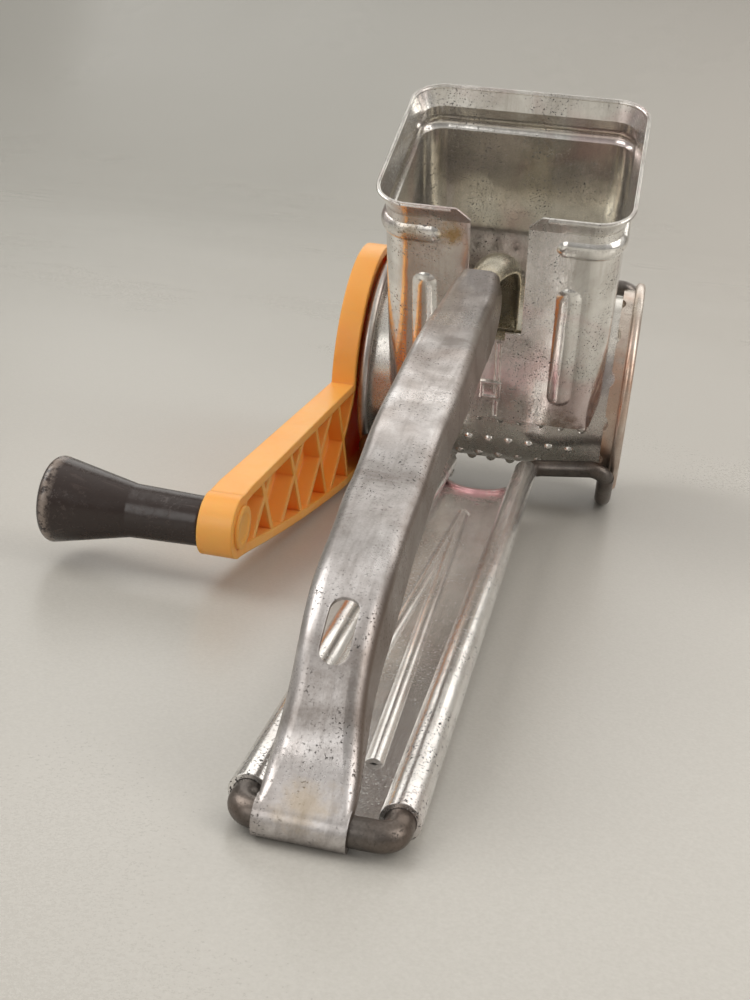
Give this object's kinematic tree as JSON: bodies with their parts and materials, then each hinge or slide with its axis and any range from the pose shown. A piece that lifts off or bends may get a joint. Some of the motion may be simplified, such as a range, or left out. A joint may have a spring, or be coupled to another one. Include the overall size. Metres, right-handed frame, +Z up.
{
  "type": "rotary shredder",
  "caption": "Hand cranked rotary shredder: tinplate hopper and grating drum on a bent wire frame, with a squeeze handle, hinged presser and side crank with a turning knob.",
  "frame": {"origin": "centre of the grating drum on its axis", "axes": "+X along the drum's axis to its open mouth, +Y away from the handle, +Z up"},
  "size_m": [0.1067, 0.2194, 0.0984],
  "materials": {
    "tinned_steel": "worn tinned steel",
    "wire_steel": "dark drawn steel wire",
    "rivet_steel": "plain steel",
    "orange_plastic": "satin moulded plastic",
    "dark_plastic": "semi-gloss moulded plastic"
  },
  "bodies": {
    "frame": {"hopper_shell": "tinned_steel", "rear_ear_left": "tinned_steel", "rear_ear_right": "tinned_steel", "ear_rivet_left": "rivet_steel", "ear_rivet_right": "rivet_steel", "wire_frame": "wire_steel", "lower_handle_plate": "tinned_steel"},
    "drum": {"drum_shell": "tinned_steel", "drum_end_cap": "tinned_steel", "drum_mouth_ring": "tinned_steel", "crank_arm": "orange_plastic", "crank_rivet": "rivet_steel", "crank_washer": "rivet_steel", "knob_pin": "rivet_steel", "knob_washer": "rivet_steel"},
    "knob": {"knob": "dark_plastic"},
    "lifting_handle": {"upper_handle": "tinned_steel", "presser_neck": "tinned_steel", "presser_plate": "tinned_steel", "presser_rivets": "rivet_steel"}
  },
  "joints": [
    {"name": "drum_spin", "type": "hinge", "parent": "frame", "child": "drum", "pos_m": [0, 0, 0], "axis": [1, 0, 0], "continuous": true},
    {"name": "knob_spin", "type": "hinge", "parent": "drum", "child": "knob", "pos_m": [-0.058, -0.103, -0.0187], "axis": [1, 0, 0], "continuous": true},
    {"name": "handle_lift", "type": "hinge", "parent": "frame", "child": "lifting_handle", "pos_m": [-0.00105, -0.18645, -0.02747], "axis": [1, 0, 0], "range_deg": [0, 105]}
  ]
}
